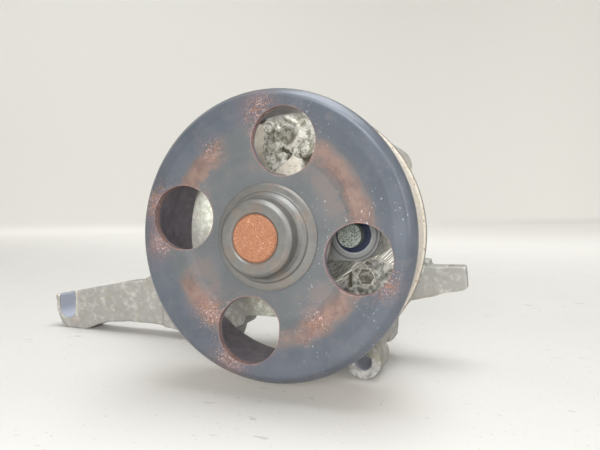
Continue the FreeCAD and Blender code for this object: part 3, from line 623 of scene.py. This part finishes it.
def smooth(made, angle=35.0):
    """Smooth shading, but with sharp edges above an angle in degrees."""
    made.data.shade_smooth()
    made.data.set_sharp_from_angle(angle=math.radians(angle))


def baked(made):
    """Applies an object's modifiers to its mesh."""
    bpy.context.view_layer.update()
    graph = bpy.context.evaluated_depsgraph_get()
    mesh = bpy.data.meshes.new_from_object(made.evaluated_get(graph))
    made.modifiers.clear()
    made.data = mesh
    return made


def make_pulley():
    """The pressed cup: rolled crown, dished web, belt track and a thin rear lip."""
    pulley = turned(
        "pulley_pressing",
        [
            (17.0, -76.0, 0.2), (24.5, -76.0, 6.0), (29.2, -76.15, 2.0), (32.2, -77.2, 2.0),
            (38.4, -77.25, 3.0), (44.0, -78.15, 4.0), (48.3, -77.9, 2.6), (51.0, -74.6, 3.4),
            (50.7, -71.2, 2.0), (49.4, -69.4, 1.6), (49.4, -49.4, 0.5), (50.3, -48.1, 0.4),
            (50.3, -46.6, 0.5), (49.1, -46.6, 0.5), (46.8, -48.4, 1.2), (46.8, -71.0, 2.5),
            (45.0, -75.4, 2.0), (38.4, -74.6, 2.0), (32.2, -74.6, 1.5), (29.2, -73.5, 1.5),
            (17.0, -73.4, 0.2),
        ],
        pulley_look(),
    )
    for number, (x, z) in enumerate(window_centres()):
        bpy.ops.mesh.primitive_cylinder_add(
            vertices=128,
            radius=WINDOW_RADIUS * MM,
            depth=DRILL_LENGTH * MM,
            location=(x * MM, DRILL_Y * MM, z * MM),
            rotation=(math.pi / 2, 0, 0),
        )
        drill = bpy.context.object
        cut = pulley.modifiers.new(f"window_{number}", "BOOLEAN")
        cut.operation = "DIFFERENCE"
        cut.solver = "EXACT"
        cut.object = drill
        baked(pulley)
        bpy.data.objects.remove(drill)
    bevel = pulley.modifiers.new("rolled_rims", "BEVEL")
    bevel.width = 0.55 * MM
    bevel.segments = 4
    bevel.limit_method = "ANGLE"
    bevel.angle_limit = math.radians(50)
    baked(pulley)
    smooth(pulley)
    return pulley


def make_hub():
    """Barrel with a rounded nose, a stepped collar in front of the web and a flange behind."""
    return turned(
        "hub_turning",
        [
            (7.96, -85.3, 0.1), (8.7, -86.0, 0.3), (11.6, -86.0, 1.0), (13.0, -84.7, 1.6),
            (13.1, -80.4, 1.5), (14.2, -78.9, 1.0), (15.4, -78.2, 0.8), (15.6, -77.3, 0.6),
            (17.6, -76.9, 0.5), (18.5, -76.5, 0.3), (18.5, -76.0, 0.1), (17.0, -76.0, 0.1),
            (17.0, -73.4, 0.1), (22.0, -73.4, 0.4), (22.0, -71.0, 0.6), (13.2, -71.0, 0.8),
            (13.0, -67.5, 0.6), (7.96, -67.5, 0.2),
        ],
        hub_look(),
    )


pulley = make_pulley()
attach(pulley, "rotor")
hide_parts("pulley")
hub = make_hub()
smooth(hub)
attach(hub, "rotor")
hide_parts("pulley_hub")


# ---------------------------------------------------------------- the casting

VOXEL = 0.7
ROUGHNESS = 0.14
BORE_REACH = 15.6
FRONT_FACE_Y = BREATHER_FACE[1]
BOLT_RADIUS = 3.4
# Drilled holes that stay smooth and round: x, z and radius.
HOLES = (
    (-20.0, 49.0, BOLT_RADIUS),
    (29.2, 28.5, BOLT_RADIUS),
    (-71.0, 22.5, BOLT_RADIUS),
    (-52.0, -49.5, BOLT_RADIUS),
    (LUG_FACE[0], LUG_FACE[2], BOLT_RADIUS),
    (BREATHER_FACE[0], BREATHER_FACE[2], 6.4),
)
# Parts of the front seen closely through the pulley's windows: x, z and y ranges.
CLOSE_PARTS = (
    ((-25.0, 7.0), (20.0, 56.0), (-38.5, -35.5)),
    ((4.0, 39.0), (-34.0, -1.0), (-29.5, -26.0)),
)


def step(value, low, high):
    """A smooth step of an array from 0 at low to 1 at high."""
    share = np.clip((value - low) / (high - low), 0, 1)
    return share * share * (3 - 2 * share)


def lumps(places, size, seed):
    """Cloudy noise from about -1 to 1 at each place in millimetres."""
    offset = Vector((seed, seed * 2.0, seed * 3.0))
    return np.array([noise.noise(Vector(place) / size + offset) for place in places])


def near_line(x, z, points):
    """Distance of each place from a line through several points."""
    nearest = np.full(len(x), 1e6)
    for (x1, z1), (x2, z2) in zip(points, points[1:]):
        length = (x2 - x1) ** 2 + (z2 - z1) ** 2
        share = np.clip(((x - x1) * (x2 - x1) + (z - z1) * (z2 - z1)) / length, 0, 1)
        away = np.hypot(x - x1 - share * (x2 - x1), z - z1 - share * (z2 - z1))
        nearest = np.minimum(nearest, away)
    return nearest


def disc(x, z, centre, radius, soft):
    """1 within a circle and 0 outside it, with a soft edge."""
    away = np.hypot(x - centre[0], z - centre[1])
    return 1 - step(away, radius - soft, radius + soft)


def inside(x, z, corners):
    """How far each place lies within a convex outline, negative outside; the corners run
    anticlockwise."""
    depth = np.full(len(x), 1e6)
    for (x1, z1), (x2, z2) in zip(corners, corners[1:] + corners[:1]):
        length = math.hypot(x2 - x1, z2 - z1)
        depth = np.minimum(depth, ((x2 - x1) * (z - z1) - (z2 - z1) * (x - x1)) / length)
    return depth


def ear_relief(x, z):
    """Height in front of the ear's face, and its milled, dark and worn-and-highlit masks, which hold
    painted shade and painted highlights beside real tones.
    """
    places = np.column_stack([x, z, np.zeros(len(x))])
    coarse = lumps(places, 2.6, 11.0)
    fine = lumps(places, 0.9, 17.0)
    height = 0.3 * coarse + 0.18 * fine
    # a strip along the left edge that slopes away
    edge_z = [24.0, 28.0, 32.8, 37.0, 42.0, 48.0]
    edge_x = np.interp(z, edge_z, [-15.0, -16.6, -19.2, -18.7, -17.8, -16.6])
    left = step(edge_x - x, -0.1, 0.5)
    height = height * (1 - 0.8 * left) - 0.5 * np.maximum(edge_x - x, 0)
    # a cast stub with a dished end and a buttress to its lower right
    stub = (-15.2, 43.6)
    butt = near_line(x, z, [stub, (-11.2, 40.2)])
    height += 1.6 * (1 - step(butt, 0.8, 3.2))
    barrel = disc(x, z, stub, 2.5, 0.15)
    height = height * (1 - barrel) + barrel * (3.2 - 0.5 * disc(x, z, stub, 1.6, 0.2))
    # a smooth bowl behind a curved ridge, and a cavity below it
    bowl_middle = (-8.4, 39.6)
    bowl = disc(x, z, bowl_middle, 3.7, 1.3)
    height = height * (1 - 0.7 * bowl) - 1.3 * bowl
    ridge_line = [
        (-8.0, 47.2), (-3.9, 45.0), (-2.6, 42.3), (-2.7, 39.6), (-5.2, 36.6), (-8.1, 34.9),
    ]
    ridge = 1 - step(near_line(x, z, ridge_line) + 0.4 * coarse + 0.3 * fine, 0.1, 1.6)
    height += 0.9 * ridge
    hole_line = [(-10.2, 34.4), (-8.0, 33.6), (-6.9, 32.2), (-8.4, 30.4)]
    cavity = 1 - step(near_line(x, z, hole_line) + 0.8 * fine + 0.5 * coarse, 0.1, 1.2)
    height -= 2.2 * cavity
    # a lump on the right over a dark hollow
    lump_x, lump_z = 0.3, 33.4
    mound = disc(x, z, (lump_x, lump_z), 1.8, 0.9)
    from_lump = np.hypot(x - lump_x, z - lump_z + 0.2)
    under = (1 - step(np.abs(from_lump - 3.0), 0.2, 0.8)) * (z < lump_z - 0.8)
    pocket_middle = (1.4, 29.2)
    pocket = disc(x, z, pocket_middle, 2.6, 0.9)
    height += 1.3 * mound - 0.9 * under - 1.6 * pocket
    # a milled pad at the bottom
    pad_corners = [
        (-14.4, 24.6), (-10.0, 18.0), (-1.2, 18.0), (-1.3, 27.0), (-2.2, 30.2), (-5.1, 31.6),
        (-9.4, 28.6),
    ]
    pad = step(inside(x, z, pad_corners), -0.1, 0.25)
    marks = lumps(np.column_stack([x + z, (x - z) * 3, np.zeros(len(x))]), 1.2, 23.0)
    height = height * (1 - pad) + pad * (1.0 + 0.1 * np.minimum(marks, 0.2))
    # painted shade in the cavity, under the lump, in the pocket and in the bowl, a painted shadow of
    # the stub as a streak and a ring round it, and real darker tones in the lower left part and in
    # the pad's marks
    dark = np.clip(0.9 * cavity + 0.8 * under + 0.9 * pocket * (1 - pad), 0, 1)
    low_left = step(-z, -39.0, -34.0) * step(-x, 3.0, 8.0) * (1 - left) * (1 - pad)
    dark = np.maximum(dark, 0.4 * step(coarse + fine, 0.1, 0.7) * low_left)
    stub_shadow_streak = 1 - step(near_line(x, z, [(-12.8, 42.2), (-9.6, 39.4)]) + 0.4 * fine, 0.5, 1.6)
    dark = np.maximum(dark, np.maximum(0.5 * bowl, 0.5 * stub_shadow_streak))
    dark = np.maximum(dark, 0.7 * pad * step(marks, 0.35, 0.5))
    stub_shadow_ring = 1 - step(np.abs(np.hypot(x - stub[0], z - stub[1]) - 2.7), 0.1, 0.5)
    dark = np.maximum(dark, 0.45 * stub_shadow_ring)
    # lighter along the left strip, a painted highlight along the ridge, and the bare milled pad
    worn_and_highlit = 0.8 * left + 0.45 * ridge * (1 - cavity) + 0.8 * pad * (1 - step(marks, 0.35, 0.5))
    return height, np.zeros(len(x)), dark, np.clip(worn_and_highlit, 0, 1)


def shoulder_relief(x, z):
    """Height in front of the shoulder's face, and its milled, dark and worn-and-highlit masks; the
    dark one holds painted shade beside real tones.
    """
    places = np.column_stack([x, z, np.zeros(len(x))])
    coarse = lumps(places, 2.2, 31.0)
    fine = lumps(places, 0.8, 37.0)
    # a rough island; the face round it is milled a little deeper
    island_corners = [
        (6.0, -40.0), (40.0, -40.0), (40.0, -18.0), (34.4, -13.4), (29.5, -10.4), (24.6, -10.2),
        (19.2, -14.2), (13.9, -19.4), (10.1, -23.7),
    ]
    island = step(inside(x, z, island_corners) + 0.35 * coarse, -0.35, 0.35)
    height = island * (0.4 * coarse + 0.22 * fine) - 1.2 * (1 - island)
    # a six-sided recess with a raised rim, and a groove to its left
    across, up = x - RECESS[0], z - RECESS[1]
    hexagon = np.zeros(len(x))
    for turn in range(6):
        angle = math.radians(30 + 60 * turn)
        hexagon = np.maximum(hexagon, across * math.cos(angle) + up * math.sin(angle))
    recess = 1 - step(hexagon, 2.75, 3.05)
    rim = (1 - step(np.abs(hexagon - 3.2), 0.1, 0.5)) * island * (0.45 + 0.4 * fine)
    height = height * (1 - recess) - 1.3 * recess + 0.25 * rim
    groove = 1 - step(near_line(x, z, [(16.7, -16.4), (16.7, -22.6)]), 0.45, 1.0)
    height -= 1.4 * groove
    # painted shade in the groove, in the recess and on its walls, with real darker mottling on the
    # island
    dark = 0.85 * groove + 0.35 * recess + 0.35 * island * step(coarse + fine, 0.3, 0.8)
    dark = np.clip(dark, 0, 1)
    wall = (1 - step(np.abs(hexagon - 2.85), 0.1, 0.3)) * 0.8
    dark = np.maximum(dark, wall)
    # lighter on the recess's rim, along the island's edge and in patches
    edge = 1 - step(np.abs(inside(x, z, island_corners) - 0.5), 0.1, 0.6)
    worn_and_highlit = np.clip(0.6 * rim + 0.6 * edge + 0.4 * island * step(-coarse, 0.2, 0.6), 0, 1)
    return height, 1 - island, dark, worn_and_highlit * (1 - groove)


def with_close_parts(mesh):
    """Splits the faces that are seen closely into smaller ones."""
    shell = bmesh.new()
    shell.from_mesh(mesh)
    edges = set()
    for face in shell.faces:
        x, y, z = face.calc_center_median() / MM
        for (left, right), (low, high), (front, back) in CLOSE_PARTS:
            within = left < x < right and low < z < high and front < y < back
            if within and face.normal.y < -0.3:
                edges.update(face.edges)
    bmesh.ops.subdivide_edges(shell, edges=list(edges), cuts=2, use_grid_fill=True)
    shell.to_mesh(mesh)
    shell.free()


def read(mesh, name):
    """A property of all the mesh's points, such as their place, as rows of three."""
    count = len(mesh.vertices)
    values = np.empty(count * 3)
    mesh.vertices.foreach_get(name, values)
    return values.reshape(count, 3)


def make_casting():
    """The body's own shape with its edges rounded and its skin made rough, as die-cast."""
    source = nodes["pump_body"]
    body = new_object("pump_casting", source.data.copy(), casting)
    remesh = body.modifiers.new("even_skin", "REMESH")
    remesh.mode = "VOXEL"
    remesh.voxel_size = VOXEL * MM
    rounding = body.modifiers.new("rounding", "SMOOTH")
    rounding.factor = 0.5
    rounding.iterations = 2
    baked(body)
    mesh = body.data
    with_close_parts(mesh)
    places = read(mesh, "co") / MM
    normals = read(mesh, "normal")
    count = len(places)
    x, y, z = places.T

    # the mounting face, the front face, the bearing's bore and the slot are left smooth
    machined = np.zeros(count)
    machined = np.maximum(machined, step(y, -1.6, -0.8))
    machined = np.maximum(machined, step(-y, 54.6, 55.2) * (normals[:, 1] < -0.5))
    machined = np.maximum(machined, (np.hypot(x, z) < BORE_REACH) * 1.0)
    in_slot = (x > SLOT_LEFT - 0.1) & (x < SLOT_RIGHT + 0.1)
    in_slot &= (z > SLOT_BOTTOM - 0.2) & (y > SLOT_FRONT - 0.1)
    machined = np.maximum(machined, in_slot * 1.0)
    # so are the holes, whose walls are put back on their circles
    for hole_x, hole_z, radius in HOLES:
        away = np.hypot(x - hole_x, z - hole_z)
        machined = np.maximum(machined, 1 - step(away, radius + 0.6, radius + 1.4))
        wall = np.abs(away - radius) < 0.5
        outward = normals[:, 0] * (x - hole_x) + normals[:, 2] * (z - hole_z)
        wall &= outward / np.maximum(away, 0.1) < -0.8
        places[wall, 0] = hole_x + (x[wall] - hole_x) * radius / away[wall]
        places[wall, 2] = hole_z + (z[wall] - hole_z) * radius / away[wall]
    front = (np.abs(y - FRONT_FACE_Y) < 0.5) & (normals[:, 1] < -0.7)
    places[front, 1] = FRONT_FACE_Y
    back = (np.abs(y) < 0.5) & (normals[:, 1] > 0.7)
    places[back, 1] = 0.0

    masks = {name: np.zeros(count) for name in ("milled", "dark", "worn_and_highlit")}
    # a narrow lip along the right side of the slot, lighter as a painted highlight
    rib = step(x, -144.2, -143.9) * step(-x, 142.2, 142.8) * step(-y, 12.2, 12.8) * (z > -50.0)
    places[:, 1] -= 0.5 * rib
    masks["worn_and_highlit"] = 0.2 * rib
    for face_y, relief, ranges in (
        (EAR_FACE_Y, ear_relief, CLOSE_PARTS[0]),
        (SHOULDER_FACE_Y, shoulder_relief, CLOSE_PARTS[1]),
    ):
        (left, right), (low, high), (near, far) = ranges
        chosen = (x > left) & (x < right) & (z > low) & (z < high) & (y > near) & (y < far)
        chosen &= (normals[:, 1] < -0.6) | (np.hypot(x - 24.2, z + 18.2) < 4.2)  # or the recess
        height, milled, dark, worn_and_highlit = relief(x[chosen], z[chosen])
        places[chosen, 1] = face_y - height
        machined[chosen] = 1.0
        masks["milled"][chosen] = milled
        masks["dark"][chosen] = dark
        masks["worn_and_highlit"][chosen] = worn_and_highlit

    rough = ROUGHNESS * lumps(places, 3.2, 1.0) + 0.6 * ROUGHNESS * lumps(places, 1.3, 5.0)
    rough = rough * (1 - machined)
    places += normals * rough[:, None]
    places[:, 2] = np.maximum(places[:, 2], LOWEST)
    mesh.vertices.foreach_set("co", (places * MM).ravel())
    for name, mask in masks.items():
        painted = mesh.attributes.new(name, "FLOAT", "POINT")
        painted.data.foreach_set("value", mask.astype(np.float32))
    mesh.update()
    smooth(body, 60.0)
    return body


body = make_casting()
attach(body, "housing")
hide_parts("pump_body")


# ---------------------------------------------------------------- floor, light and camera

CAMERA = Vector((72.95, -238.33, 9.5)) * MM
AIM = Vector((16.0, -86.0, 4.59)) * MM
LENS = 31.2
FLOOR_Z = cad_box[0][2]
TABLE_DARK = srgb(217, 215, 212)
TABLE_LIGHT = srgb(223, 222, 220)
WALL_COLOUR = srgb(222, 221, 217)
# The table's far edge as seen from above, where the wall starts.
EDGE_LEFT = Vector((-1.057, 0.694))
EDGE_RIGHT = Vector((0.538, 2.549))
COVE_RADIUS = 0.035
COVE_STEPS = 12
FLOOR_REACH = 7.0
WALL_HEIGHT = 4.0
# How strongly the far table and the wall glow, at their dimmer and their brighter end.
TABLE_GLOW = 0.38
WALL_GLOW = (0.09, 0.45)
ROOM_COLOUR = (1.0, 0.965, 0.87, 1.0)
ROOM_STRENGTH = 0.40
LIGHT_AIM = Vector((0.0, -0.05, 0.0))


def make_floor():
    """A pale table with a slightly turned pale wall behind the pump."""
    along = (EDGE_RIGHT - EDGE_LEFT).normalized()
    back = Vector((-along.y, along.x))
    middle = (EDGE_LEFT + EDGE_RIGHT) / 2
    # depth and height from the front of the table, through a cove, up the wall
    profile = [(-FLOOR_REACH, 0.0), (-1.5, 0.0), (-COVE_RADIUS, 0.0)]
    for number in range(1, COVE_STEPS + 1):
        angle = math.radians(90 * number / COVE_STEPS)
        profile.append(
            (COVE_RADIUS * (math.sin(angle) - 1), COVE_RADIUS * (1 - math.cos(angle)))
        )
    profile.append((0.0, WALL_HEIGHT))
    points, faces = [], []
    for depth, up in profile:
        for side in (-FLOOR_REACH, FLOOR_REACH):
            place = middle + back * depth + along * side
            points.append((place.x, place.y, FLOOR_Z + up))
    for number in range(len(profile) - 1):
        low = 2 * number
        faces.append((low, low + 1, low + 3, low + 2))
    mesh = bpy.data.meshes.new("floor")
    mesh.from_pydata(points, [], faces)
    look = Look("pale_table", Roughness=0.7)
    cloud = look.noise(60.0, 3.0, 0.5)
    speck = look.between(look.noise(1.6, 2.0, 0.5, shift=3.0), 0.69, 0.73)
    scratch = look.noise(1.0, 2.0, 0.5, stretch=(9, 4, 1), shift=6.0)
    scratch = look.both(look.between(scratch, 0.66, 0.72), look.between(cloud, 0.48, 0.58))
    colour = look.mix(cloud, TABLE_DARK, TABLE_LIGHT)
    marks = look.math("MAXIMUM", speck, scratch)
    colour = look.mix(look.both(marks, 0.3), colour, srgb(140, 132, 124))
    wall = look.between(look.axis("Z"), LOWEST + 4.0, LOWEST + 34.0)
    table_glow = look.both(look.between(look.axis("Y"), 80.0, 900.0), TABLE_GLOW)
    dim, bright = WALL_GLOW
    wall_glow = look.both(look.between(look.axis("X"), -900.0, 450.0), bright - dim)
    wall_glow = look.both(look.math("ADD", wall_glow, dim), wall)
    glow = look.math("ADD", wall_glow, look.both(table_glow, look.opposite(wall)))
    look.set(
        Base_Color=look.mix(wall, colour, WALL_COLOUR),
        Emission_Color=WALL_COLOUR,
        Emission_Strength=glow,
    )
    floor = new_object("floor", mesh, look.material)
    face_upwards(mesh)
    mesh.shade_smooth()
    return floor


def face_upwards(mesh):
    """Turns the floor's faces so that they look up and forward."""
    if mesh.polygons[0].normal.z < 0:
        mesh.flip_normals()


def area_light(name, place, size, power, colour=(1, 1, 1), glare=True):
    """A soft light that looks at the pump; one without glare isn't mirrored in it."""
    data = bpy.data.lights.new(name, "AREA")
    data.shape = "RECTANGLE"
    data.size, data.size_y = size
    data.energy = power
    data.color = colour
    lamp = bpy.data.objects.new(name, data)
    lamp.location = place
    lamp.rotation_euler = (LIGHT_AIM - Vector(place)).to_track_quat("-Z", "Y").to_euler()
    lamp.visible_glossy = glare
    scene.collection.objects.link(lamp)
    return lamp


floor = make_floor()
world = bpy.data.worlds.new("soft_room")
world.use_nodes = True
background = world.node_tree.nodes["Background"]
background.inputs["Color"].default_value = ROOM_COLOUR
background.inputs["Strength"].default_value = ROOM_STRENGTH
scene.world = world
area_light("above", (0.12, 0.12, 1.35), (1.0, 0.9), 13.5, (0.96, 0.98, 1.0))
front_top = area_light("front_top", (0.35, -0.80, 1.10), (1.0, 0.6), 11.5, (0.95, 0.98, 1.0))
area_light("front", (0.09, -0.95, 0.12), (0.5, 0.4), 9.5, (1.0, 0.995, 0.99), False)
area_light("near", (0.073, -0.245, 0.012), (0.03, 0.02), 0.17, (1.0, 0.99, 0.98), False)
right = area_light("right", (0.9, -0.35, 0.35), (0.4, 0.7), 2.5)
# The table's soft shadows come from the light above, so two lights pass it by.
not_table = bpy.data.collections.new("not_table")
not_table.objects.link(floor)
not_table.collection_objects[0].light_linking.link_state = "EXCLUDE"
for lamp in (right, front_top):
    lamp.light_linking.receiver_collection = not_table

camera_data = bpy.data.cameras.new("camera")
camera_data.lens = LENS
camera_data.sensor_width = 36.0
camera_data.clip_start = 0.01
camera = bpy.data.objects.new("camera", camera_data)
camera.location = CAMERA
camera.rotation_euler = (AIM - CAMERA).to_track_quat("-Z", "Y").to_euler()
scene.collection.objects.link(camera)
scene.camera = camera
scene.view_settings.view_transform = "Standard"
